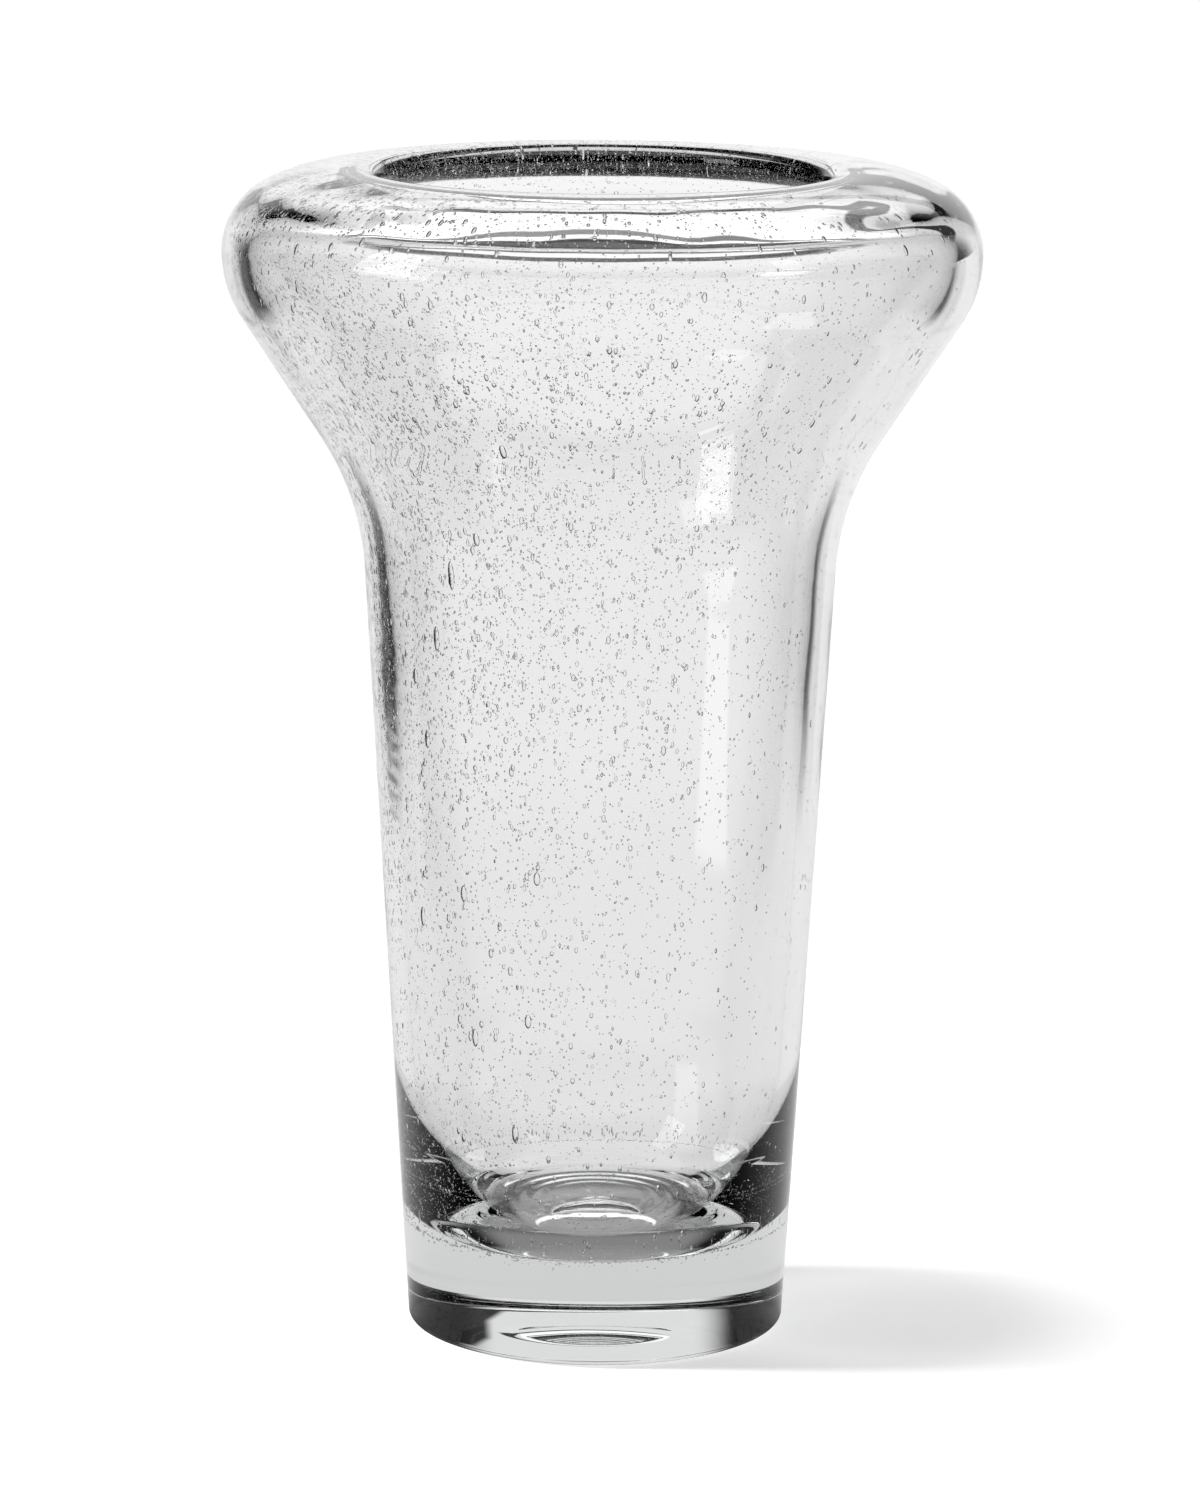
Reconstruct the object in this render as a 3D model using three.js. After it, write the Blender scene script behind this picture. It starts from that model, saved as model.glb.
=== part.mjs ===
// Hand-blown conical vase with a rolled-in rim on a solid foot, in millimetres, +Z up.
// The origin is the middle of the foot, on the surface that the vase stands on.
// Every outline below is half a section, with x as the distance from the axis and y as the height.
import * as THREE from 'three';

// Overall form
const height = 300;
const rimRadius = 96.2; // at the widest place
const mouthRadius = 57.5; // at the narrowest place of the lip
const footRadius = 48.5; // where the line of the wall meets the table

// Outside of the wall
const wallTaper = THREE.MathUtils.degToRad(3.35); // of the lower body, from upright
const flareTaper = THREE.MathUtils.degToRad(33.2); // of the shoulder, from upright
const neckBlend = 70; // radius of the hollow curve between body and shoulder
const bellyRadius = 30; // of the curve from the shoulder to the widest place
const rollRadius = 19; // of the curve from the widest place up to the crown
const crownRadius = 45; // of the flat curve on top
const crestInset = 29.6; // from the widest place in to the highest ring
const footEdge = 2.4; // radius of the foot's outer edge

// Thickness of the glass
const bodyWall = 5.5;
const rimWall = 6.4; // at the widest place
const crownWall = 7.6; // under the highest ring
const lipBead = 1; // how much thicker the lip is than the glass behind it
const lipFillet = 6; // radius of the blend behind the lip

// Floor of the hollow, and the rounded corner from there into the wall
const floorHeight = 24;
const floorRadius = 25;
const cornerHeight = 46;
const cornerFullness = 0.55; // how far the curve's handles reach towards the corner

// Seam between the seeded body and the clear foot
const seamDepth = 2.8; // below the hollow's floor
const seamRise = 6.4; // from the flat seat up to the outside
const seamGap = 0.3; // at the outside, closing to nothing at the flat seat

// Ground and polished dip under the foot
const dipRadius = 14;
const dipDepth = 2.2;

// Fineness of the facets
const roundSegments = 72;
const fineSteps = 7;
const steps = 5;
const lipSteps = 9;
const samePoint = 0.001; // closer together than this, two points are one

/** A point of the half section. */
function at(x, y) {
  return new THREE.Vector2(x, y);
}

/** Points of an arc, with angles counted from outwards towards upwards. */
function arc(centre, radius, from, to, count) {
  const points = [];
  for (let step = 0; step <= count; step += 1) {
    const angle = from + (to - from) * step / count;
    points.push(at(centre.x + radius * Math.cos(angle), centre.y + radius * Math.sin(angle)));
  }
  return points;
}

/** Runs of points as one outline, where a point that repeats the one before it counts once. */
function joined(...runs) {
  return runs.flat().filter((point, index, all) => (
    index === 0 || point.distanceTo(all[index - 1]) > samePoint
  ));
}

// Crown, roll and belly, each touching the next
const crownCentre = at(rimRadius - crestInset, height - crownRadius);
const rollReach = crestInset - rollRadius;
const widestRise = Math.sqrt((crownRadius - rollRadius) ** 2 - rollReach ** 2);
const widestHeight = crownCentre.y + widestRise;
const rollCentre = at(rimRadius - rollRadius, widestHeight);
const rollAngle = Math.atan2(widestRise, rollReach);
const bellyCentre = at(rimRadius - bellyRadius, widestHeight);

// Round lip, touching the crown from within
const lipRadius = (crownWall + lipBead) / 2;
const lipReach = crownRadius - lipRadius;
const lipOffset = mouthRadius + lipRadius - crownCentre.x;
const lipAngle = Math.acos(lipOffset / lipReach);
const lipCentre = at(
  crownCentre.x + lipOffset,
  crownCentre.y + lipReach * Math.sin(lipAngle),
);

// Underside of the crown, and the roll inside the rim that touches it
const ceilingRadius = crownRadius - crownWall;
const innerRimReach = crestInset - rimWall;
const innerRollRadius = (ceilingRadius ** 2 - innerRimReach ** 2 - widestRise ** 2)
  / (2 * (ceilingRadius - innerRimReach));
const innerRollCentre = at(rimRadius - rimWall - innerRollRadius, widestHeight);
const innerRollAngle = Math.atan2(widestRise, innerRimReach - innerRollRadius);

// Blend behind the lip, touching the lip from outside and the underside of the crown from within
const filletReach = ceilingRadius - lipFillet;
const filletTurn = Math.acos(
  (lipReach ** 2 + filletReach ** 2 - (lipRadius + lipFillet) ** 2) / (2 * lipReach * filletReach),
);
const filletAngle = lipAngle - filletTurn;
const filletCentre = at(
  crownCentre.x + filletReach * Math.cos(filletAngle),
  crownCentre.y + filletReach * Math.sin(filletAngle),
);
const lipToFillet = filletCentre.clone().sub(lipCentre).angle();

// Hollow's floor and its corner
const innerFoot = footRadius - bodyWall / Math.cos(wallTaper);
const cornerTop = floorHeight + cornerHeight;

/** Distance of a wall from the axis at a height, from its distance at the table. */
function wallAt(foot, level) {
  return foot + level * Math.tan(wallTaper);
}

/** Curve between the wall's line and the shoulder's line, from the wall up. */
function neck(foot, belly, blend, lowest) {
  const shoulder = at(
    bellyCentre.x + belly * Math.cos(flareTaper),
    bellyCentre.y - belly * Math.sin(flareTaper),
  );
  const slopes = Math.tan(flareTaper) - Math.tan(wallTaper);
  const level = (foot - shoulder.x + shoulder.y * Math.tan(flareTaper)) / slopes;
  const corner = at(wallAt(foot, level), level);
  const halfTurn = Math.tan((flareTaper - wallTaper) / 2);
  const room = Math.min(corner.distanceTo(shoulder), (level - lowest) / Math.cos(wallTaper));
  const reach = Math.min(blend * halfTurn, room);
  const radius = reach / halfTurn;
  const start = at(
    corner.x - reach * Math.sin(wallTaper),
    corner.y - reach * Math.cos(wallTaper),
  );
  const centre = at(
    start.x + radius * Math.cos(wallTaper),
    start.y - radius * Math.sin(wallTaper),
  );
  return [start, ...arc(centre, radius, Math.PI - wallTaper, Math.PI - flareTaper, fineSteps)];
}

/** Seam's surface from the edge of its flat seat out to the wall, rising that much on the way. */
function seam(rise) {
  const seat = floorHeight - seamDepth;
  const reach = wallAt(footRadius, seat + rise) - floorRadius;
  const radius = (reach ** 2 + rise ** 2) / (2 * rise);
  const centre = at(floorRadius, seat + radius);
  const end = Math.atan2(rise - radius, reach);
  return [at(0, seat), at(floorRadius, seat), ...arc(centre, radius, -Math.PI / 2, end, steps)];
}

/** Body's outside from the neck up, over the crown to the lip. */
function outside() {
  return [
    ...neck(footRadius, bellyRadius, neckBlend, cornerTop),
    ...arc(bellyCentre, bellyRadius, -flareTaper, 0, steps),
    ...arc(rollCentre, rollRadius, 0, rollAngle, fineSteps),
    ...arc(crownCentre, crownRadius, rollAngle, lipAngle, steps),
  ];
}

/** Hollow's surface from behind the lip, through the rim and down to the floor. */
function inside() {
  const innerBelly = bellyRadius - rimWall;
  const down = neck(innerFoot, innerBelly, neckBlend + bodyWall, cornerTop).reverse();
  const top = at(wallAt(innerFoot, cornerTop), cornerTop);
  const corner = at(wallAt(innerFoot, floorHeight), floorHeight);
  const floorEdge = at(floorRadius, floorHeight);
  const curve = new THREE.CubicBezierCurve(
    top,
    top.clone().lerp(corner, cornerFullness),
    floorEdge.clone().lerp(corner, cornerFullness),
    floorEdge,
  );
  return [
    ...arc(filletCentre, lipFillet, lipToFillet - Math.PI, filletAngle, steps),
    ...arc(crownCentre, ceilingRadius, filletAngle, innerRollAngle, steps),
    ...arc(innerRollCentre, innerRollRadius, innerRollAngle, 0, steps),
    ...arc(bellyCentre, innerBelly, 0, -flareTaper, steps),
    ...down,
    ...curve.getPoints(lipSteps),
    at(0, floorHeight),
  ];
}

/** Ball-shaped dip under the foot, from the axis out to the ring that the vase stands on. */
function dip() {
  const radius = (dipRadius ** 2 + dipDepth ** 2) / (2 * dipDepth);
  const centre = at(0, dipDepth - radius);
  const end = Math.atan2(radius - dipDepth, dipRadius);
  return [at(0, dipDepth), ...arc(centre, radius, Math.PI / 2, end, steps)];
}

/** Foot's flat ring and rounded outer edge. */
function footRing() {
  const centre = at(wallAt(footRadius, footEdge) - footEdge / Math.cos(wallTaper), footEdge);
  return [at(centre.x, 0), ...arc(centre, footEdge, -Math.PI / 2, -wallTaper, steps)];
}

/** A named solid turned about the upright axis from its half section. */
function turned(name, outline, colour, roughness) {
  const geometry = new THREE.LatheGeometry(outline, roundSegments);
  geometry.rotateX(Math.PI / 2);
  const material = new THREE.MeshStandardMaterial({ color: colour, roughness, metalness: 0 });
  const mesh = new THREE.Mesh(geometry, material);
  mesh.name = name;
  return mesh;
}

// Blown body, full of small bubbles, with its rim rolled in over the hollow
const lip = arc(lipCentre, lipRadius, lipAngle, lipToFillet, lipSteps);
const bodyOutline = joined(seam(seamRise + seamGap), outside(), lip, inside());
const seededBody = turned('seeded_body', bodyOutline, 0xdfe3e2, 0.06);

// Solid foot of clear glass
const footOutline = joined(dip(), footRing(), seam(seamRise).reverse());
const clearFoot = turned('clear_foot', footOutline, 0xd3d8d7, 0.04);

const group = new THREE.Group();
group.name = 'conical_vase';
group.add(seededBody, clearFoot);

export default group;
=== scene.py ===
"""Conical vase of blown glass: one smooth skin with its air bubbles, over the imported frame."""
import math
from types import SimpleNamespace

import bmesh
import bpy
import numpy as np
from mathutils import Euler, Matrix


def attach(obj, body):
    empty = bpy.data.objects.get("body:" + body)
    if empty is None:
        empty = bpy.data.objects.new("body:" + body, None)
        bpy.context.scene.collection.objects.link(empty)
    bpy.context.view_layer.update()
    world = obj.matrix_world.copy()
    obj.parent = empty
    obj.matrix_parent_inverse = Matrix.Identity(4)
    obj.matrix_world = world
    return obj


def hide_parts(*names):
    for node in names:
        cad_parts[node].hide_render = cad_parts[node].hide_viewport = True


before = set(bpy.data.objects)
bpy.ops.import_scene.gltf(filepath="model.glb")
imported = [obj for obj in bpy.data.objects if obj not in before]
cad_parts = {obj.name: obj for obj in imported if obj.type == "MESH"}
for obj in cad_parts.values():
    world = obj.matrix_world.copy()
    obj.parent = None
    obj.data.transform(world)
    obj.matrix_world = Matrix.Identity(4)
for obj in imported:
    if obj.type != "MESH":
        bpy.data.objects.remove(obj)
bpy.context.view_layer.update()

MM = 0.001
SEED = 11


def link(name, data):
    """An object for a mesh, lamp or camera, in the scene."""
    thing = bpy.data.objects.new(name, data)
    bpy.context.collection.objects.link(thing)
    return thing


# Camera: place in metres, turns in radians and its image in pixels
IMAGE_WIDTH, IMAGE_HEIGHT = 1200, 1500
CAMERA_AWAY, CAMERA_HEIGHT = 1.6065, 0.4663
CAMERA_DOWN, CAMERA_ROLL = 0.19432, 0.00707
FOCAL_PIXELS = 6378.35
AXIS_COLUMN = 599.0
SENSOR_HEIGHT = 24
CLIP_END = 100


def make_camera():
    """The camera, at the photograph's place and angle."""
    data = bpy.data.cameras.new("camera")
    data.sensor_fit = "VERTICAL"
    data.sensor_height = SENSOR_HEIGHT
    data.lens = FOCAL_PIXELS / IMAGE_HEIGHT * SENSOR_HEIGHT
    data.clip_end = CLIP_END
    data.shift_x = (IMAGE_WIDTH / 2 - AXIS_COLUMN) / IMAGE_HEIGHT
    camera = link("camera", data)
    camera.matrix_world = (
        Matrix.Translation((0, -CAMERA_AWAY, CAMERA_HEIGHT))
        @ Euler((math.pi / 2 - CAMERA_DOWN, 0, 0)).to_matrix().to_4x4()
        @ Matrix.Rotation(CAMERA_ROLL, 4, "Z")
    )
    bpy.context.scene.camera = camera


# Section of the vase in millimetres, as in the solids
HEIGHT = 300
RIM_RADIUS = 96.2
MOUTH_RADIUS = 57.5
FOOT_RADIUS = 48.5
WALL_TAPER = math.radians(3.35)
FLARE_TAPER = math.radians(33.2)
NECK_BLEND = 70
BELLY_RADIUS = 30
ROLL_RADIUS = 19
CROWN_RADIUS = 45
CREST_INSET = 29.6
FOOT_EDGE = 2.4
BODY_WALL = 5.5
RIM_WALL = 6.4
CROWN_WALL = 7.6
LIP_BEAD = 1
LIP_FILLET = 6
FLOOR_HEIGHT = 24
FLOOR_RADIUS = 25
CORNER_HEIGHT = 46
CORNER_FULLNESS = 0.55
DIP_RADIUS = 14
DIP_DEPTH = 2.2

# Fineness: steps along the section in millimetres, by part, and segments round the axis
STEP = {
    "dip": 0.8, "ring": 3, "edge": 0.4, "wall": 3, "neck": 1.2, "shoulder": 2, "belly": 0.9, "roll": 0.8,
    "crown": 0.9, "lip": 0.5, "fillet": 0.5, "ceiling": 0.9, "inner_roll": 0.6, "inner_belly": 0.8,
    "inner_wall": 1.2, "floor": 0.75,
}
LEAST_ARC_STEPS = 4
CORNER_STEPS = 40
ROUND_SEGMENTS = 180
# a smaller radius than this is none
ON_AXIS = 1e-9
# how far the lip is below the top at most
LIP_BELOW_TOP = 40


def arc(centre, radius, start, end, step):
    """Points of an arc without its first, with angles counted from outwards towards upwards."""
    count = max(LEAST_ARC_STEPS, int(abs(end - start) * radius / step))
    return [(centre[0] + radius * math.cos(a), centre[1] + radius * math.sin(a))
            for a in np.linspace(start, end, count + 1)[1:]]


def straight(start, end, step):
    """Points of a straight stretch without its first."""
    count = max(1, int(math.dist(start, end) / step))
    return [(start[0] + (end[0] - start[0]) * k / count, start[1] + (end[1] - start[1]) * k / count)
            for k in range(1, count + 1)]


def neck(foot, belly_centre, belly, blend):
    """Start and centre of the curve from the wall's line to the shoulder's, and where the shoulder ends."""
    shoulder = (belly_centre[0] + belly * math.cos(FLARE_TAPER),
                belly_centre[1] - belly * math.sin(FLARE_TAPER))
    slopes = math.tan(FLARE_TAPER) - math.tan(WALL_TAPER)
    level = (foot - shoulder[0] + shoulder[1] * math.tan(FLARE_TAPER)) / slopes
    corner = (foot + math.tan(WALL_TAPER) * level, level)
    reach = blend * math.tan((FLARE_TAPER - WALL_TAPER) / 2)
    start = (corner[0] - reach * math.sin(WALL_TAPER), corner[1] - reach * math.cos(WALL_TAPER))
    centre = (start[0] + blend * math.cos(WALL_TAPER), start[1] - blend * math.sin(WALL_TAPER))
    return start, centre, shoulder


def rim_curves():
    """Centres, radii and angles of the curves in the rim, each of which touches the next."""
    crown = (RIM_RADIUS - CREST_INSET, HEIGHT - CROWN_RADIUS)
    roll_reach = CREST_INSET - ROLL_RADIUS
    rise = math.sqrt((CROWN_RADIUS - ROLL_RADIUS) ** 2 - roll_reach ** 2)
    widest = crown[1] + rise
    # round lip, touching the crown from within
    lip_radius = (CROWN_WALL + LIP_BEAD) / 2
    lip_reach = CROWN_RADIUS - lip_radius
    lip_offset = MOUTH_RADIUS + lip_radius - crown[0]
    lip_angle = math.acos(lip_offset / lip_reach)
    lip = (crown[0] + lip_offset, crown[1] + lip_reach * math.sin(lip_angle))
    # underside of the crown, and the roll inside the rim
    ceiling = CROWN_RADIUS - CROWN_WALL
    inner_reach = CREST_INSET - RIM_WALL
    inner_roll = (ceiling ** 2 - inner_reach ** 2 - rise ** 2) / (2 * (ceiling - inner_reach))
    # blend behind the lip
    fillet_reach = ceiling - LIP_FILLET
    turn = math.acos((lip_reach ** 2 + fillet_reach ** 2 - (lip_radius + LIP_FILLET) ** 2)
                     / (2 * lip_reach * fillet_reach))
    fillet_angle = lip_angle - turn
    fillet = (crown[0] + fillet_reach * math.cos(fillet_angle),
              crown[1] + fillet_reach * math.sin(fillet_angle))
    return SimpleNamespace(
        crown=crown, roll=(RIM_RADIUS - ROLL_RADIUS, widest), roll_angle=math.atan2(rise, roll_reach),
        belly=(RIM_RADIUS - BELLY_RADIUS, widest), lip=lip, lip_radius=lip_radius, lip_angle=lip_angle,
        lip_end=math.atan2(fillet[1] - lip[1], fillet[0] - lip[0]) % (2 * math.pi),
        fillet=fillet, fillet_angle=fillet_angle, ceiling=ceiling, inner_roll_radius=inner_roll,
        inner_roll=(RIM_RADIUS - RIM_WALL - inner_roll, widest),
        inner_roll_angle=math.atan2(rise, inner_reach - inner_roll),
    )


def foot_points():
    """Points from the dip's middle over the flat ring and round the foot's outer edge."""
    radius = (DIP_RADIUS ** 2 + DIP_DEPTH ** 2) / (2 * DIP_DEPTH)
    end = math.atan2(radius - DIP_DEPTH, DIP_RADIUS)
    points = [(0, DIP_DEPTH)]
    points += arc((0, DIP_DEPTH - radius), radius, math.pi / 2, end, STEP["dip"])
    edge = (FOOT_RADIUS + math.tan(WALL_TAPER) * FOOT_EDGE - FOOT_EDGE / math.cos(WALL_TAPER), FOOT_EDGE)
    points += straight(points[-1], (edge[0], 0), STEP["ring"])
    points += arc(edge, FOOT_EDGE, -math.pi / 2, -WALL_TAPER, STEP["edge"])
    return points


def outside_points(rim, last):
    """Points from the foot's edge up the outside and over the crown to the lip."""
    start, centre, shoulder = neck(FOOT_RADIUS, rim.belly, BELLY_RADIUS, NECK_BLEND)
    points = straight(last, start, STEP["wall"])
    points += arc(centre, NECK_BLEND, math.pi - WALL_TAPER, math.pi - FLARE_TAPER, STEP["neck"])
    points += straight(points[-1], shoulder, STEP["shoulder"])
    points += arc(rim.belly, BELLY_RADIUS, -FLARE_TAPER, 0, STEP["belly"])
    points += arc(rim.roll, ROLL_RADIUS, 0, rim.roll_angle, STEP["roll"])
    points += arc(rim.crown, CROWN_RADIUS, rim.roll_angle, rim.lip_angle, STEP["crown"])
    return points


def inner_foot():
    """Radius at the table of the line that the inside of the wall follows."""
    return FOOT_RADIUS - BODY_WALL / math.cos(WALL_TAPER)


def inner_wall(level):
    """Point of the wall's inside at a height."""
    return inner_foot() + math.tan(WALL_TAPER) * level, level


def inside_points(rim):
    """Points from the lip through the rim and down the inside to where the rounded corner starts."""
    points = arc(rim.lip, rim.lip_radius, rim.lip_angle, rim.lip_end, STEP["lip"])
    points += arc(rim.fillet, LIP_FILLET, rim.lip_end - math.pi, rim.fillet_angle, STEP["fillet"])
    points += arc(rim.crown, rim.ceiling, rim.fillet_angle, rim.inner_roll_angle, STEP["ceiling"])
    points += arc(rim.inner_roll, rim.inner_roll_radius, rim.inner_roll_angle, 0, STEP["inner_roll"])
    points += arc(rim.belly, BELLY_RADIUS - RIM_WALL, 0, -FLARE_TAPER, STEP["inner_belly"])
    blend = NECK_BLEND + BODY_WALL
    start, centre, _ = neck(inner_foot(), rim.belly, BELLY_RADIUS - RIM_WALL, blend)
    bend = [start] + arc(centre, blend, math.pi - WALL_TAPER, math.pi - FLARE_TAPER, STEP["neck"])
    points += straight(points[-1], bend[-1], STEP["shoulder"]) + bend[-2::-1]
    points += straight(points[-1], inner_wall(FLOOR_HEIGHT + CORNER_HEIGHT), STEP["inner_wall"])
    return points


def corner_points():
    """Points of the rounded corner from the wall into the hollow's floor, and of the floor."""
    top = np.array(inner_wall(FLOOR_HEIGHT + CORNER_HEIGHT))
    corner = np.array(inner_wall(FLOOR_HEIGHT))
    floor_edge = np.array((FLOOR_RADIUS, FLOOR_HEIGHT))
    upper = top + (corner - top) * CORNER_FULLNESS
    lower = floor_edge + (corner - floor_edge) * CORNER_FULLNESS
    points = []
    for t in np.linspace(0, 1, CORNER_STEPS + 1)[1:]:
        p = ((1 - t) ** 3 * top + 3 * (1 - t) ** 2 * t * upper
             + 3 * (1 - t) * t ** 2 * lower + t ** 3 * floor_edge)
        points.append((float(p[0]), float(p[1])))
    points += straight(points[-1], (0, FLOOR_HEIGHT), STEP["floor"])
    return points


def section():
    """The vase's half section in millimetres, from the dip's middle round the outside and down the inside."""
    rim = rim_curves()
    points = foot_points()
    points += outside_points(rim, points[-1])
    points += inside_points(rim)
    points += corner_points()
    return np.array(points)


def lip_index(profile):
    """Place in the section of the narrowest point of the lip."""
    r, z = profile.T
    return int(np.argmin(np.where(z > HEIGHT - LIP_BELOW_TOP, r, np.inf)))


# Unevenness of blown glass, as kinds of waves: how many, their turns round the axis from least to most,
# and their waves per millimetre along the section
LINES = (7, (1, 4), (0.002, 0.009))
DIMPLES = (9, (7, 19), (0.01, 0.035))
CRINKLES = (12, (12, 30), (0.12, 0.34))
RIPPLES = (10, (9, 34), (0.0, 0.03))
# how far each kind reaches, in millimetres, inside the wall and outside, and the heights where it sets in
LINE_REACH, LINE_LESS_IN_RIM = (0.32, 0.10), (0.17, 0.04)
LINES_START, LINES_LOWER_INSIDE, LINES_LESS = (30, 60), 25, (225, 250)
DIMPLE_REACH, DIMPLES_START = (0.05, 0.012), (60, 110)
RIPPLE_REACH, RIPPLES_START = (0.11, 0.04), (236, 256)
CRINKLE_REACH, CRINKLES_START, CRINKLES_END = (0.045, 0), (90, 150), (215, 195)
# where the crinkles set in on the left, by the cosine of the angle round from the right
CRINKLES_LEFT = (-0.2, -0.9)
# rings in the hollow's floor: how high, how far apart, where one has its top, and the radii that bound them
RING_REACH, RING_SPACING, RING_TOP = 0.17, 4.2, 19.3
RINGS_OUTER_END, RINGS_INNER_END, RINGS_HEIGHT = (36, 24), (10, 17), 20
# how little of them is left in front, and where they set in, by the sine of the angle round
RINGS_IN_FRONT, RINGS_BACK = 0.12, (-0.6, 0.1)


def run_and_direction(points):
    """Length along a row of points, and its direction at each, as unit vectors."""
    run = np.concatenate([[0], np.cumsum(np.linalg.norm(np.diff(points, axis=0), axis=1))])
    along = np.gradient(points, run, axis=0)
    along /= np.linalg.norm(along, axis=1)[:, None]
    return run, along


def smooth_step(low, high, x):
    """Zero below low and one above high, with a soft change between."""
    t = np.clip((x - low) / (high - low), 0, 1)
    return t * t * (3 - 2 * t)


def waves(rng, kind):
    """Random waves of a kind, as rows of turns round, waves per millimetre along, phase and size."""
    count, round_range, along_range = kind
    rows = []
    for _ in range(count):
        turns = rng.integers(round_range[0], round_range[1] + 1)
        along = rng.uniform(*along_range) * rng.choice((-1, 1))
        rows.append((turns, along, rng.uniform(0, 2 * np.pi), rng.uniform(0.5, 1)))
    total = sum(row[3] for row in rows)
    return [(turns, along, phase, size / total) for turns, along, phase, size in rows]


def wave_height(rows, angle, run):
    """Sum of waves at angles round the axis and a length along the section."""
    return sum(size * np.cos(turns * angle + 2 * np.pi * along * run + phase)
               for turns, along, phase, size in rows)


def reaches(inner, r, z):
    """How far lines, dimples, ripples, floor rings and crinkles reach along the section, in millimetres."""
    in_rim = smooth_step(*LINES_LESS, z)
    lines = np.where(inner, LINE_REACH[0] - LINE_LESS_IN_RIM[0] * in_rim,
                     LINE_REACH[1] - LINE_LESS_IN_RIM[1] * in_rim)
    # the foot's outside has none
    lines *= smooth_step(*LINES_START, np.where(inner, z + LINES_LOWER_INSIDE, z))
    dimples = np.where(inner, *DIMPLE_REACH) * smooth_step(*DIMPLES_START, z)
    ripples = np.where(inner, *RIPPLE_REACH) * smooth_step(*RIPPLES_START, z)
    crinkles = (np.where(inner, *CRINKLE_REACH) * smooth_step(*CRINKLES_START, z)
                * smooth_step(*CRINKLES_END, z))
    on_floor = inner & (z < FLOOR_HEIGHT + RINGS_HEIGHT)
    rings = np.where(on_floor, RING_REACH * np.cos(2 * np.pi * (r - RING_TOP) / RING_SPACING)
                     * smooth_step(*RINGS_OUTER_END, r) * smooth_step(*RINGS_INNER_END, r), 0)
    return lines, dimples, ripples, rings, crinkles


def loops(profile):
    """The uneven skin's points as one loop round the axis for each point of the section."""
    rng = np.random.default_rng(SEED)
    run, along = run_and_direction(profile)
    normal = np.stack([along[:, 1], -along[:, 0]], 1)
    r, z = profile.T
    inner = np.arange(len(profile)) > lip_index(profile)
    lines, dimples, ripples, rings, crinkles = reaches(inner, r, z)
    line_waves = waves(rng, LINES)
    dimple_waves = waves(rng, DIMPLES)
    crinkle_waves = waves(rng, CRINKLES)
    ripple_waves = waves(rng, RIPPLES)
    turn = np.linspace(0, 2 * np.pi, ROUND_SEGMENTS, endpoint=False)
    on_left = smooth_step(*CRINKLES_LEFT, np.cos(turn))
    at_back = RINGS_IN_FRONT + (1 - RINGS_IN_FRONT) * smooth_step(*RINGS_BACK, np.sin(turn))
    result = []
    for k in range(len(profile)):
        if r[k] < ON_AXIS:
            result.append(np.array([[0, 0, z[k]]]))
            continue
        push = (lines[k] * wave_height(line_waves, turn, run[k])
                + dimples[k] * wave_height(dimple_waves, turn, run[k])
                + ripples[k] * wave_height(ripple_waves, turn, run[k]) + rings[k] * at_back
                + crinkles[k] * on_left * wave_height(crinkle_waves, turn, run[k]))
        radius = r[k] + push * normal[k, 0]
        up = z[k] + push * normal[k, 1]
        result.append(np.stack([radius * np.cos(turn), radius * np.sin(turn), up], 1))
    return result


def loop_faces(sizes):
    """Faces between loops of those numbers of points, where a loop of one point is a middle."""
    faces = []
    first = 0
    for size, next_size in zip(sizes, sizes[1:]):
        second = first + size
        for s in range(ROUND_SEGMENTS):
            t = (s + 1) % ROUND_SEGMENTS
            if size == 1:
                faces.append((first, second + t, second + s))
            elif next_size == 1:
                faces.append((first + s, first + t, second))
            else:
                faces.append((first + s, first + t, second + t, second + s))
        first = second
    return faces


def smooth_mesh(name, points, faces):
    """A smooth-shaded mesh from points in millimetres."""
    mesh = bpy.data.meshes.new(name)
    mesh.from_pydata((points * MM).tolist(), [], faces)
    mesh.update()
    mesh.polygons.foreach_set("use_smooth", [True] * len(mesh.polygons))
    return mesh


def make_vase():
    """The whole vase as one closed skin of glass, with the slight unevenness of blown glass."""
    skin = loops(section())
    mesh = smooth_mesh("vase_glass", np.concatenate(skin), loop_faces([len(loop) for loop in skin]))
    vase = link("vase_glass", mesh)
    mesh.materials.append(clear_glass("clear_blown_glass", GLASS_BENDING, absorbing=True))
    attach(vase, "root")
    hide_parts("seeded_body", "clear_foot")


# Seam between the seeded body and the clear foot: its depth under the hollow's floor, how far it rises to
# the outside, the radius and height that it reaches there, and points along it
SEAM_DEPTH = 2.8
SEAM_RISE = 6.4
SEAM_RADIUS = FOOT_RADIUS + 1.6
SEAM_TOP = 27.8
SEAM_STEPS = 60

# Seeds, the small air bubbles: how many in the wall, in a line round the seam, and drawn out above it
SEED_COUNT = 22000
SEAM_SEEDS = 340
SEAM_STREAKS = 150
# their share by the cosine of the angle round from the right, and by height in millimetres
SEED_SIDES = (
    (-1, -0.6, -0.375, 0, 0.375, 0.625, 0.875, 1),
    (1.2, 1, 1, 0.8, 0.6, 0.36, 0.2, 0.12),
)
SEED_LEVELS = (
    (20, 55, 82, 108, 134, 160, 187, 210, 232, 253, 290),
    (0.4, 0.43, 0.39, 0.51, 0.64, 0.89, 1, 0.98, 0.85, 0.85, 0.85),
)
# how their share grows with the radius and with the thickness of the glass, up to a most
SEED_USUAL_RADIUS, SEED_USUAL_GLASS, SEED_MOST_GLASS, SEED_SHARE = 90, 6, 2.2, 1.3
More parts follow.
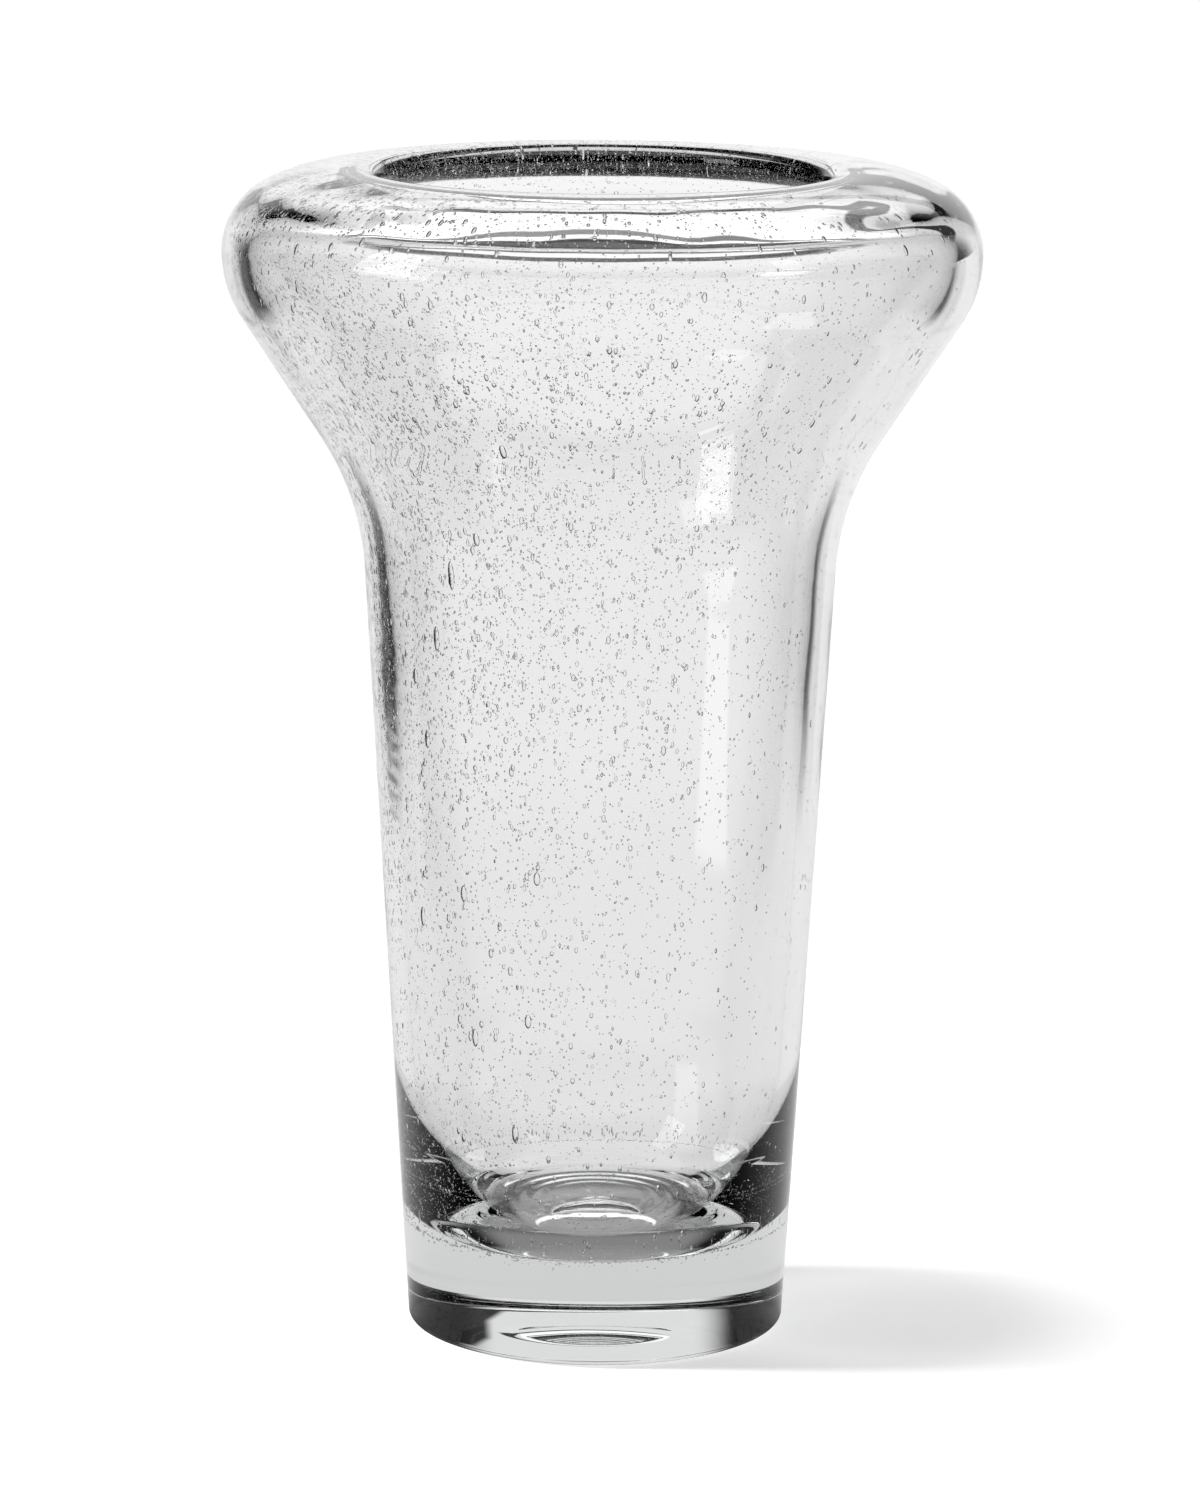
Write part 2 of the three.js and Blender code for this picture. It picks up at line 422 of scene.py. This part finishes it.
# the thinnest glass that holds any, and the least glass inside one, outside it and between it and the seam
THINNEST_SEEDED_GLASS = 2
SEED_LEAST_DEPTH, SEED_LEAST_COVER, SEED_OVER_SEAM = 0.75, 0.5, 0.3
# half sizes in millimetres: the usual one, its spread, the largest, and how much of the glass they may fill
SEED_SIZE, SEED_SPREAD, SEED_LARGEST, SEED_ROOM = 0.205, 0.27, 0.62, 0.8
SEED_FLATNESS = 0.9
# share of larger ones, and how much it grows with their share by side
LARGER_SHARE, LARGER_SHARE_BY_SIDE = 0.02, 0.09
# how many times larger, and how many times longer than wide
LARGER_TIMES, SHORT_TIMES, LONG_TIMES = (1.4, 2.5), (1.0, 1.4), (1.1, 2.2)
# line round the seam, and the drawn-out ones above it: radius, height and half size, with the ranges
# in which each lies inwards and upwards of its place, and how far it may be off its turn
SEAM_LINE, SEAM_SIZES, SEAM_INWARDS, SEAM_UPWARDS = (49.5, 27.9), (0.16, 0.36), (0.5, 1.1), (-0.25, 0.35)
SEAM_TURN_SHIFT = (-0.4, 0.4)
STREAK_LINE, STREAK_SIZES, STREAK_INWARDS = (49.6, 31.4), (0.13, 0.24), (0.6, 1.6)
STREAK_UPWARDS, STREAK_TIMES = (-1.5, 1.8), (4, 8)
# below these half sizes a seed is in the finest piece, is hardly drawn out, and is in the middle piece
FINE_SIZE, SHORT_SIZE, MIDDLE_SIZE = 0.24, 0.3, 0.36
# the largest ones in front: place across, height and half length, and then their half depth and half width
LARGE_SEEDS = (
    (-36.2, 203, 3.9), (-39.8, 187, 3.2), (-23.5, 240, 2.3), (-30, 214, 1.8), (-45, 176, 2.0),
    (-42, 160, 2.4), (-15, 128, 1.8), (-33, 122, 2.2), (-43, 113, 2.6), (-17, 91, 1.9), (-30, 84, 2.4),
    (-20, 60, 2.6),
)
LARGE_DEPTH, LARGE_WIDTH = 0.8, 0.9
# below this height the wall is followed to place them
LARGE_SEEDS_TOP = 250
# pieces of seeds by size: name, fineness of the skin, and how much it bends light, which is less for
# larger ones so that they don't come out blacker than in the photograph
SEED_KINDS = (("seeds_fine", 0, 1.5), ("seeds_middle", 1, 1.4), ("seeds_large", 2, 1.2))


def ball(fineness):
    """Corners and triangles of a small unit ball: 8 triangles at 0, 20 at 1 and 80 at 2."""
    if fineness == 0:
        corners = [(1, 0, 0), (-1, 0, 0), (0, 1, 0), (0, -1, 0), (0, 0, 1), (0, 0, -1)]
        faces = [(0, 2, 4), (2, 1, 4), (1, 3, 4), (3, 0, 4), (2, 0, 5), (1, 2, 5), (3, 1, 5), (0, 3, 5)]
        return np.array(corners, float), np.array(faces)
    form = bmesh.new()
    bmesh.ops.create_icosphere(form, subdivisions=fineness, radius=1)
    form.verts.ensure_lookup_table()
    corners = np.array([corner.co[:] for corner in form.verts])
    faces = np.array([[corner.index for corner in face.verts] for face in form.faces])
    form.free()
    return corners, faces


def seam_height(r):
    """Height of the seam between the seeded body and the clear foot, at a distance from the axis."""
    outwards = np.clip((r - FLOOR_RADIUS) / (SEAM_RADIUS - FLOOR_RADIUS), 0, 1)
    return FLOOR_HEIGHT - SEAM_DEPTH + SEAM_RISE * outwards ** 2


def seeded_wall():
    """Inner surface from the lip to the floor: length, place, direction into the glass and thickness."""
    profile = section()
    lip = lip_index(profile)
    inner, outer = profile[lip:], profile[:lip]
    run, along = run_and_direction(inner)
    into_glass = np.stack([-along[:, 1], along[:, 0]], 1)
    across = np.linspace(0, FOOT_RADIUS, SEAM_STEPS)
    seam = np.stack([across, seam_height(across)], 1)
    shell = np.concatenate([outer[outer[:, 1] > SEAM_TOP], seam])
    thick = np.array([np.min(np.linalg.norm(shell - place, axis=1)) for place in inner])
    return SimpleNamespace(run=run, place=inner, into_glass=into_glass, thick=thick)


def wall_at(wall, run):
    """Radius, height, thickness and direction into the glass at a length along the inner surface."""
    columns = (wall.place[:, 0], wall.place[:, 1], wall.thick, wall.into_glass[:, 0], wall.into_glass[:, 1])
    return [np.interp(run, wall.run, column) for column in columns]


def scattered_seeds(rng, wall):
    """Seeds all over the wall: more on the left, in the rim and half-way up."""
    rows = []
    while len(rows) < SEED_COUNT:
        r, z, thick, nx, nz = wall_at(wall, rng.uniform(0, wall.run[-1]))
        turn = rng.uniform(0, 2 * np.pi)
        if thick < THINNEST_SEEDED_GLASS:
            continue
        side = np.interp(math.cos(turn), *SEED_SIDES)
        glass = min(thick / SEED_USUAL_GLASS, SEED_MOST_GLASS)
        share = side * np.interp(z, *SEED_LEVELS) * r / SEED_USUAL_RADIUS * glass / SEED_SHARE
        if rng.uniform() > share:
            continue
        deep = rng.uniform(SEED_LEAST_DEPTH, thick - SEED_LEAST_COVER)
        r, z = r + nx * deep, z + nz * deep
        if z < seam_height(r) + SEED_OVER_SEAM:
            continue
        size = SEED_SIZE * math.exp(SEED_SPREAD * rng.normal())
        # a few are larger, and more of them on the left
        if rng.uniform() < LARGER_SHARE + LARGER_SHARE_BY_SIDE * side:
            size *= rng.uniform(*LARGER_TIMES)
        size = min(size, SEED_LARGEST, deep * SEED_ROOM, (thick - deep) * SEED_ROOM)
        longer = rng.uniform(*(SHORT_TIMES if size < SHORT_SIZE else LONG_TIMES))
        rows.append((r, turn, z, math.atan2(nz, nx), size * SEED_FLATNESS, size, size * longer))
    return rows


def seam_seeds(rng):
    """A line of fine seeds where the body meets the foot, and drawn-out ones above it."""
    rows = []
    for k in range(SEAM_SEEDS):
        turn = 2 * np.pi * (k + rng.uniform(*SEAM_TURN_SHIFT)) / SEAM_SEEDS
        size = rng.uniform(*SEAM_SIZES)
        r = SEAM_LINE[0] - rng.uniform(*SEAM_INWARDS)
        z = SEAM_LINE[1] + rng.uniform(*SEAM_UPWARDS)
        rows.append((r, turn, z, 0, size, size, size))
    for _ in range(SEAM_STREAKS):
        turn = rng.uniform(0, 2 * np.pi)
        size = rng.uniform(*STREAK_SIZES)
        r = STREAK_LINE[0] - rng.uniform(*STREAK_INWARDS)
        z = STREAK_LINE[1] + rng.uniform(*STREAK_UPWARDS)
        rows.append((r, turn, z, 0, size, size, size * rng.uniform(*STREAK_TIMES)))
    return rows


def large_seeds(wall):
    """The largest seeds, by their places across and up in front, in the middle of the wall."""
    below_rim = np.flatnonzero(wall.place[:, 1] < LARGE_SEEDS_TOP)
    rows = []
    for across, up, half_length in LARGE_SEEDS:
        at = below_rim[np.argmin(np.abs(wall.place[below_rim, 1] - up))]
        nx, nz = wall.into_glass[at]
        r, z = wall.place[at] + wall.into_glass[at] * wall.thick[at] / 2
        rows.append((r, -math.acos(across / r), z, math.atan2(nz, nx), LARGE_DEPTH, LARGE_WIDTH, half_length))
    return rows


def seed_mesh(name, rows, fineness):
    """Hollow bubbles in the glass, from rows of radius, turn, height, lean and three half sizes."""
    corners, faces = ball(fineness)
    r, turn, z, lean, deep, wide, high = rows.T
    # directions of each seed: out through the wall, round the vase and along the wall
    radial = np.stack([np.cos(turn), np.sin(turn), 0 * turn], 1)
    around = np.stack([-np.sin(turn), np.cos(turn), 0 * turn], 1)
    up = np.array([0, 0, 1.0])
    out = radial * np.cos(lean)[:, None] + up * np.sin(lean)[:, None]
    along = -radial * np.sin(lean)[:, None] + up * np.cos(lean)[:, None]
    place = radial * r[:, None] + up * z[:, None]
    points = (place[:, None] + corners[None, :, :1] * (out * deep[:, None])[:, None]
              + corners[None, :, 1:2] * (around * wide[:, None])[:, None]
              + corners[None, :, 2:] * (along * high[:, None])[:, None])
    # the skins face inwards, because what they hold is air
    first = (np.arange(len(rows)) * len(corners))[:, None, None]
    triangles = (faces[None, :, ::-1] + first).reshape(-1, 3)
    return smooth_mesh(name, points.reshape(-1, 3), triangles.tolist())


def make_seeds():
    """All seeds, as three pieces by size: the finest as the simplest skins."""
    rng = np.random.default_rng(SEED + 1)
    wall = seeded_wall()
    rows = np.array(scattered_seeds(rng, wall) + seam_seeds(rng) + large_seeds(wall))
    size = rows[:, 5]
    groups = (size < FINE_SIZE, (size >= FINE_SIZE) & (size < MIDDLE_SIZE), size >= MIDDLE_SIZE)
    for (name, fineness, bending), chosen in zip(SEED_KINDS, groups):
        mesh = seed_mesh(name, rows[chosen], fineness)
        piece = link(name, mesh)
        mesh.materials.append(clear_glass(name, bending, absorbing=False))
        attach(piece, "root")


# Light that depends on a place or a direction: the least length that it divides by
SMALL = 0.001


class Nodes:
    """A cleared node tree, with short ways to add nodes, link them and count with them."""

    def __init__(self, owner):
        owner.use_nodes = True
        self.tree = owner.node_tree
        self.tree.nodes.clear()

    def make(self, kind, **values):
        node = self.tree.nodes.new(kind)
        for key, value in values.items():
            setattr(node, key, value)
        return node

    def put(self, value, socket):
        """A linked value or a plain number into a socket."""
        if isinstance(value, (int, float, tuple)):
            socket.default_value = value
        else:
            self.tree.links.new(value, socket)

    def maths(self, operation, *values):
        node = self.make("ShaderNodeMath", operation=operation)
        for value, socket in zip(values, node.inputs):
            self.put(value, socket)
        return node.outputs[0]

    def plus(self, a, b):
        return self.maths("ADD", a, b)

    def minus(self, a, b):
        return self.maths("SUBTRACT", a, b)

    def times(self, a, b):
        return self.maths("MULTIPLY", a, b)

    def over(self, a, b):
        return self.maths("DIVIDE", a, b)

    def larger(self, a, b):
        return self.maths("MAXIMUM", a, b)

    def smaller(self, a, b):
        return self.maths("MINIMUM", a, b)

    def size(self, a):
        return self.maths("ABSOLUTE", a)

    def length(self, a, b):
        """Length of the way that goes a in one direction and b square to it."""
        return self.maths("SQRT", self.plus(self.times(a, a), self.times(b, b)))

    def ramp(self, value, low, high, bottom, top):
        """A soft change from bottom to top, while a value goes from low to high."""
        node = self.make("ShaderNodeMapRange", interpolation_type="SMOOTHSTEP")
        for name, number in (("Value", value), ("From Min", low), ("From Max", high),
                             ("To Min", bottom), ("To Max", top)):
            self.put(number, node.inputs[name])
        return node.outputs["Result"]

    def place(self, kind):
        """Three parts of a texture coordinate."""
        coordinate = self.make("ShaderNodeTexCoord")
        split = self.make("ShaderNodeSeparateXYZ")
        self.put(coordinate.outputs[kind], split.inputs[0])
        return split.outputs["X"], split.outputs["Y"], split.outputs["Z"]

    def coloured(self, kind, colour):
        """A shader of a colour, or of a linked brightness."""
        node = self.make(kind)
        self.put(colour, node.inputs["Color"])
        return node.outputs[0]

    def mixed(self, share, first, second):
        """The first shader where the share is zero, and the second where it is one."""
        node = self.make("ShaderNodeMixShader")
        self.put(share, node.inputs["Fac"])
        self.put(first, node.inputs[1])
        self.put(second, node.inputs[2])
        return node.outputs[0]


def grey(tone):
    """A grey colour of a tone."""
    return tone, tone, tone, 1


# Glass: how much it bends light, what it takes from it, and the shade of its shadow by height in metres
GLASS_BENDING = 1.5
GLASS_TINT, GLASS_DENSITY = (0.57, 0.59, 0.585, 1), 6.0
SHADE_LOW, SHADE_HIGH, SHADE_OF_FOOT, SHADE_OF_WALL = 0.018, 0.032, 0.5, 1


def clear_glass(name, bending, absorbing):
    """Clear glass that bends light, and lets most of the lamp's light through to the floor."""
    material = bpy.data.materials.new(name)
    nodes = Nodes(material)
    out = nodes.make("ShaderNodeOutputMaterial")
    path = nodes.make("ShaderNodeLightPath")
    glass = nodes.make("ShaderNodeBsdfGlass")
    nodes.put(bending, glass.inputs["IOR"])
    nodes.put(0, glass.inputs["Roughness"])
    nodes.put(grey(1), glass.inputs["Color"])
    clear = nodes.make("ShaderNodeBsdfTransparent")
    if absorbing:
        # the thick foot throws a shadow, and the thin wall hardly any
        height = nodes.place("Object")[2]
        shade = nodes.ramp(height, SHADE_LOW, SHADE_HIGH, SHADE_OF_FOOT, SHADE_OF_WALL)
        nodes.put(shade, clear.inputs["Color"])
        inside = nodes.make("ShaderNodeVolumeAbsorption")
        nodes.put(GLASS_TINT, inside.inputs["Color"])
        nodes.put(GLASS_DENSITY, inside.inputs["Density"])
        nodes.put(inside.outputs[0], out.inputs["Volume"])
    surface = nodes.mixed(path.outputs["Is Shadow Ray"], glass.outputs[0], clear.outputs[0])
    nodes.put(surface, out.inputs["Surface"])
    return material


# Floor, in metres from the vase's axis
FLOOR_REACH, FLOOR_BELOW = 8, 0.0003
PAPER_WHITE, PAPER_GLOW = 0.8, 0.45
# the table as the glass sees it. A ramp is four numbers: where it starts and ends, and its value at each.
# Angles are cosines, counted from straight behind the vase
CLOSE_RAMP = (-0.4, 0.6, 0.06, 0.84)
ROUND_VASE_RAMP = (-0.4, 0.8, 0.03, 0.855)
FAR_RAMP, FAR_SLANT = (0.765, 0.845, 0.04, 0.90), 0.07
CLOSE_ENDS, FAR_STARTS = (0.11, 0.15), (0.50, 0.80)
# its front, for what comes through the glass: by angle and by distance, before the vase and beside it
BEFORE_RAMP, BEFORE_STARTS = (-0.55, -0.10, 0.80, 0), (0.08, 0.20, 0, 1)
BESIDE_RAMP, BESIDE_STARTS = (-0.05, 0.30, 0.80, 0), (0.25, 0.45, 0, 1)
# under the foot, painted light and shade: a lit disc, a ring round it of painted contact shadow that is
# darker behind, and a crescent of painted caustic light
PAINTED_DISC_LIGHT, DISC_ENDS, PAINTED_SHADOW_RING_RAMP = 0.34, (0.024, 0.031), (-0.6, -0.1, 0.27, 0.01)
CRESCENT_RADIUS, CRESCENT_SOFTNESS, PAINTED_CAUSTIC_LIGHT = 0.020, 0.0006, 1.1
CRESCENT_OUTER, CRESCENT_INNER = -0.0125, -0.0165
FOOT_ENDS = (0.044, 0.052)
# painted light cards on the table, glowing patches that the glass shows as highlight strips: heading in
# degrees, near end, far end, half width and brightness
PAINTED_LIGHT_CARDS = ((121.5, 0.45, 0.74, 0.075, 2.2), (133, 0.20, 0.27, 0.028, 1.8))
CARD_SOFTNESS = 0.2


# mask of one painted light card
def card(nodes, x, y, heading, near, far, half_width):
    """One over a card that lies on the table along a heading, seen from the vase, and zero off it."""
    soft = half_width * CARD_SOFTNESS
    sine, cosine = math.sin(math.radians(heading)), math.cos(math.radians(heading))
    along = nodes.plus(nodes.times(x, sine), nodes.times(y, cosine))
    across = nodes.size(nodes.minus(nodes.times(x, cosine), nodes.times(y, sine)))
    ends = nodes.times(nodes.ramp(along, near - soft, near + soft, 0, 1),
                       nodes.ramp(along, far - soft, far + soft, 1, 0))
    return nodes.times(ends, nodes.ramp(across, half_width - soft, half_width + soft, 1, 0))


# mask of the painted caustic under the foot
def crescent(nodes, x, y):
    """One in a disc that isn't in an equal disc a little nearer the front, and zero elsewhere."""
    low, high = CRESCENT_RADIUS - CRESCENT_SOFTNESS, CRESCENT_RADIUS + CRESCENT_SOFTNESS
    in_outer = nodes.ramp(nodes.length(x, nodes.minus(y, CRESCENT_OUTER)), low, high, 1, 0)
    off_inner = nodes.ramp(nodes.length(x, nodes.minus(y, CRESCENT_INNER)), low, high, 0, 1)
    return nodes.times(in_outer, off_inner)


def table_light(nodes, path, x, y):
    """What the table sends to the glass, by place in metres from the vase's axis, with painted light and
    shade under the foot and painted light cards.
    """
    away = nodes.length(x, y)
    behind = nodes.over(y, nodes.larger(away, SMALL))
    right = nodes.over(x, nodes.larger(away, SMALL))
    # bright behind the vase and dark before it, with a sharp edge far off
    slanted = nodes.plus(behind, nodes.times(right, FAR_SLANT))
    close = nodes.ramp(behind, *CLOSE_RAMP)
    round_vase = nodes.ramp(behind, *ROUND_VASE_RAMP)
    far_off = nodes.ramp(slanted, *FAR_RAMP)
    table = nodes.ramp(away, *CLOSE_ENDS, close, round_vase)
    table = nodes.ramp(away, *FAR_STARTS, table, far_off)
    # bright in front too, where it is seen through the glass
    before = nodes.times(nodes.ramp(behind, *BEFORE_RAMP), nodes.ramp(away, *BEFORE_STARTS))
    beside = nodes.times(nodes.ramp(behind, *BESIDE_RAMP), nodes.ramp(away, *BESIDE_STARTS))
    in_front = nodes.times(nodes.larger(before, beside), path.outputs["Is Transmission Ray"])
    table = nodes.larger(table, in_front)
    # painted light under the vase in place of what the dip and the foot gather: a lit disc, a painted contact
    # shadow round it and a painted caustic
    disc = nodes.ramp(away, *DISC_ENDS, PAINTED_DISC_LIGHT, nodes.ramp(behind, *PAINTED_SHADOW_RING_RAMP))
    painted_caustic = nodes.times(crescent(nodes, x, y), PAINTED_CAUSTIC_LIGHT)
    table = nodes.ramp(away, *FOOT_ENDS, nodes.plus(disc, painted_caustic), table)
    # painted light cards that only reflections show, as highlight strips on the glass
    for heading, near, far, half_width, bright in PAINTED_LIGHT_CARDS:
        shown = nodes.times(path.outputs["Is Reflection Ray"], bright)
        table = nodes.plus(table, nodes.times(card(nodes, x, y, heading, near, far, half_width), shown))
    return table


def make_floor():
    """Floor: the camera sees it white with the vase's shadow, and the glass sees a table with dark places,
    painted light and shade under the foot and painted light cards.
    """
    mesh = bpy.data.meshes.new("floor")
    sides = ((-1, -1), (1, -1), (1, 1), (-1, 1))
    corners = [(x * FLOOR_REACH, y * FLOOR_REACH, -FLOOR_BELOW) for x, y in sides]
    mesh.from_pydata(corners, [], [(0, 1, 2, 3)])
    floor = link("floor", mesh)
    material = bpy.data.materials.new("floor")
    nodes = Nodes(material)
    out = nodes.make("ShaderNodeOutputMaterial")
    path = nodes.make("ShaderNodeLightPath")
    x, y, _ = nodes.place("Object")
    table = nodes.coloured("ShaderNodeEmission", table_light(nodes, path, x, y))
    paper = nodes.make("ShaderNodeAddShader")
    nodes.put(nodes.coloured("ShaderNodeBsdfDiffuse", grey(PAPER_WHITE)), paper.inputs[0])
    nodes.put(nodes.coloured("ShaderNodeEmission", grey(PAPER_GLOW)), paper.inputs[1])
    surface = nodes.mixed(path.outputs["Is Camera Ray"], table, paper.outputs[0])
    nodes.put(surface, out.inputs["Surface"])
    mesh.materials.append(material)


# Surroundings: the camera's white, and the least light that the glass sees
BACKDROP_WHITE = 1.02
DARK_STUDIO = 0.015
# ramps by height, as the sine of the angle over the horizon, and by side, as the cosine from straight behind.
# The screen behind the vase
SCREEN_SIDES, SCREEN_LOW, SCREEN_HIGH = (0.80, 0.93, 0, 0.90), (-0.02, 0.12, 1, 1.08), (0.45, 0.53, 0, 0.45)
# its slanting joint: height, slope, half width with its growth to either side, soft edge, and end on the left
JOINT_HEIGHT, JOINT_SLOPE = 0.450, 0.315
JOINT_HALF_WIDTH, JOINT_GROWTH_RIGHT, JOINT_GROWTH_LEFT = 0.030, 0.03, 0.045
JOINT_EDGE, JOINT_ENDS = (0.75, 1.2), (-0.20, -0.08, 1, 0.04)
LEVEL_JOINT_HEIGHT, LEVEL_JOINT = 0.650, (0.012, 0.024, 0.15, 1)
# light from above, and the dark ceiling between it and the screen
OVERHEAD_STARTS, OVERHEAD_SIDES, ZENITH = (0.58, 0.74, 0, 1.35), (0.5, 0.8, 1, 0), (0.945, 0.98, 0, 1.35)
CEILING_SIDES, CEILING_STARTS, CEILING_ENDS = (0.72, 0.90, 0, 1), (0.690, 0.705, 0, 1), (0.945, 0.98, 1, 0)
# wall in front, in a low and a high part
LOW_WALL_SIDES, LOW_WALL_ENDS = (-0.05, 0.30, 0.75, 0), (0.04, 0.12, 1, 0)
HIGH_WALL_SIDES, HIGH_WALL_ENDS = (-0.60, -0.20, 0.55, 0), (0.50, 0.70, 1, 0)


def studio_light(nodes, path, x, y, z):
    """What the surroundings send to the glass, by direction, with z as its height."""
    behind = nodes.over(y, nodes.larger(nodes.length(x, y), SMALL))
    # screen behind the vase, brightest above
    screen_tone = nodes.plus(nodes.ramp(z, *SCREEN_LOW), nodes.ramp(z, *SCREEN_HIGH))
    screen = nodes.times(nodes.ramp(behind, *SCREEN_SIDES), screen_tone)
    # a slanting dark joint in it that widens to the right and ends on the left, and a level one
    slant = nodes.size(nodes.plus(nodes.minus(z, JOINT_HEIGHT), nodes.times(x, JOINT_SLOPE)))
    growth_right = nodes.times(nodes.larger(x, 0), JOINT_GROWTH_RIGHT)
    growth_left = nodes.times(nodes.smaller(x, 0), JOINT_GROWTH_LEFT)
    half_width = nodes.plus(nodes.plus(JOINT_HALF_WIDTH, growth_right), growth_left)
    joint = nodes.ramp(nodes.over(slant, half_width), *JOINT_EDGE, nodes.ramp(x, *JOINT_ENDS), 1)
    level_joint = nodes.ramp(nodes.size(nodes.minus(z, LEVEL_JOINT_HEIGHT)), *LEVEL_JOINT)
    screen = nodes.times(nodes.times(screen, joint), level_joint)
    # light from above, and the dark ceiling
    overhead = nodes.times(nodes.ramp(z, *OVERHEAD_STARTS), nodes.ramp(behind, *OVERHEAD_SIDES))
    zenith = nodes.ramp(z, *ZENITH)
    ceiling_band = nodes.times(nodes.ramp(z, *CEILING_STARTS), nodes.ramp(z, *CEILING_ENDS))
    ceiling = nodes.times(nodes.ramp(behind, *CEILING_SIDES), ceiling_band)
    above = nodes.times(nodes.larger(overhead, nodes.larger(screen, zenith)), nodes.minus(1, ceiling))
    # wall in front, bright where it is seen through the glass
    low_wall = nodes.times(nodes.ramp(behind, *LOW_WALL_SIDES), nodes.ramp(z, *LOW_WALL_ENDS))
    high_wall = nodes.times(nodes.ramp(behind, *HIGH_WALL_SIDES), nodes.ramp(z, *HIGH_WALL_ENDS))
    front_wall = nodes.times(nodes.larger(low_wall, high_wall), path.outputs["Is Transmission Ray"])
    light = nodes.larger(nodes.plus(above, DARK_STUDIO), front_wall)
    # the floor gets its light from the lamp and its own glow alone
    return nodes.times(light, nodes.minus(1, path.outputs["Is Diffuse Ray"]))


def make_surroundings():
    """Surroundings: white for the camera, and a studio for the glass."""
    world = bpy.data.worlds.new("world")
    bpy.context.scene.world = world
    nodes = Nodes(world)
    out = nodes.make("ShaderNodeOutputWorld")
    path = nodes.make("ShaderNodeLightPath")
    x, y, z = nodes.place("Generated")
    studio = nodes.coloured("ShaderNodeBackground", studio_light(nodes, path, x, y, z))
    white = nodes.coloured("ShaderNodeBackground", grey(BACKDROP_WHITE))
    nodes.put(nodes.mixed(path.outputs["Is Camera Ray"], studio, white), out.inputs["Surface"])


# Soft boxes that the glass mirrors: name, heading in degrees, distance, bottom, top, width and brightness
SOFT_BOXES = (
    ("softbox_left", -113, 1.0, 0.43, 1.02, 0.36, 2.6),
    ("softbox_right", 121, 1.0, 0.68, 0.95, 0.16, 1.5),
)
SOFT_BOX_POWER = 4


def make_soft_box(name, heading, distance, bottom, top, width, bright):
    """A soft box that only the glass shows, facing the vase's axis."""
    light = bpy.data.lights.new(name, "AREA")
    light.shape = "RECTANGLE"
    light.size = width
    light.size_y = top - bottom
    light.energy = bright * SOFT_BOX_POWER * width * (top - bottom)
    box = link(name, light)
    turned = math.radians(heading)
    box.location = (distance * math.sin(turned), distance * math.cos(turned), (bottom + top) / 2)
    box.rotation_euler = (math.pi / 2, 0, math.pi - turned)
    box.visible_camera = False
    box.visible_diffuse = False


# Lamp from the left, which gives the shadow on the floor
LAMP_POWER = 7.7
LAMP_ANGLE, LAMP_LEAN = math.radians(9), math.radians(-72.5)


def make_lamp():
    """Lamp from the left, which gives the shadow on the floor and isn't seen in the glass."""
    light = bpy.data.lights.new("lamp", "SUN")
    light.energy = LAMP_POWER
    light.angle = LAMP_ANGLE
    lamp = link("lamp", light)
    lamp.rotation_euler = (0, LAMP_LEAN, 0)
    lamp.visible_glossy = False
    lamp.visible_transmission = False


def set_bounces(cycles):
    """Light paths: what is led round and round inside the wall dies out, as it does between real bubbles."""
    cycles.max_bounces = 14
    cycles.transmission_bounces = 14
    cycles.glossy_bounces = 4
    cycles.transparent_max_bounces = 32


make_camera()
make_vase()
make_seeds()
make_floor()
make_surroundings()
for soft_box in SOFT_BOXES:
    make_soft_box(*soft_box)
make_lamp()
bpy.context.scene.view_settings.view_transform = "Standard"
set_bounces(bpy.context.scene.cycles)
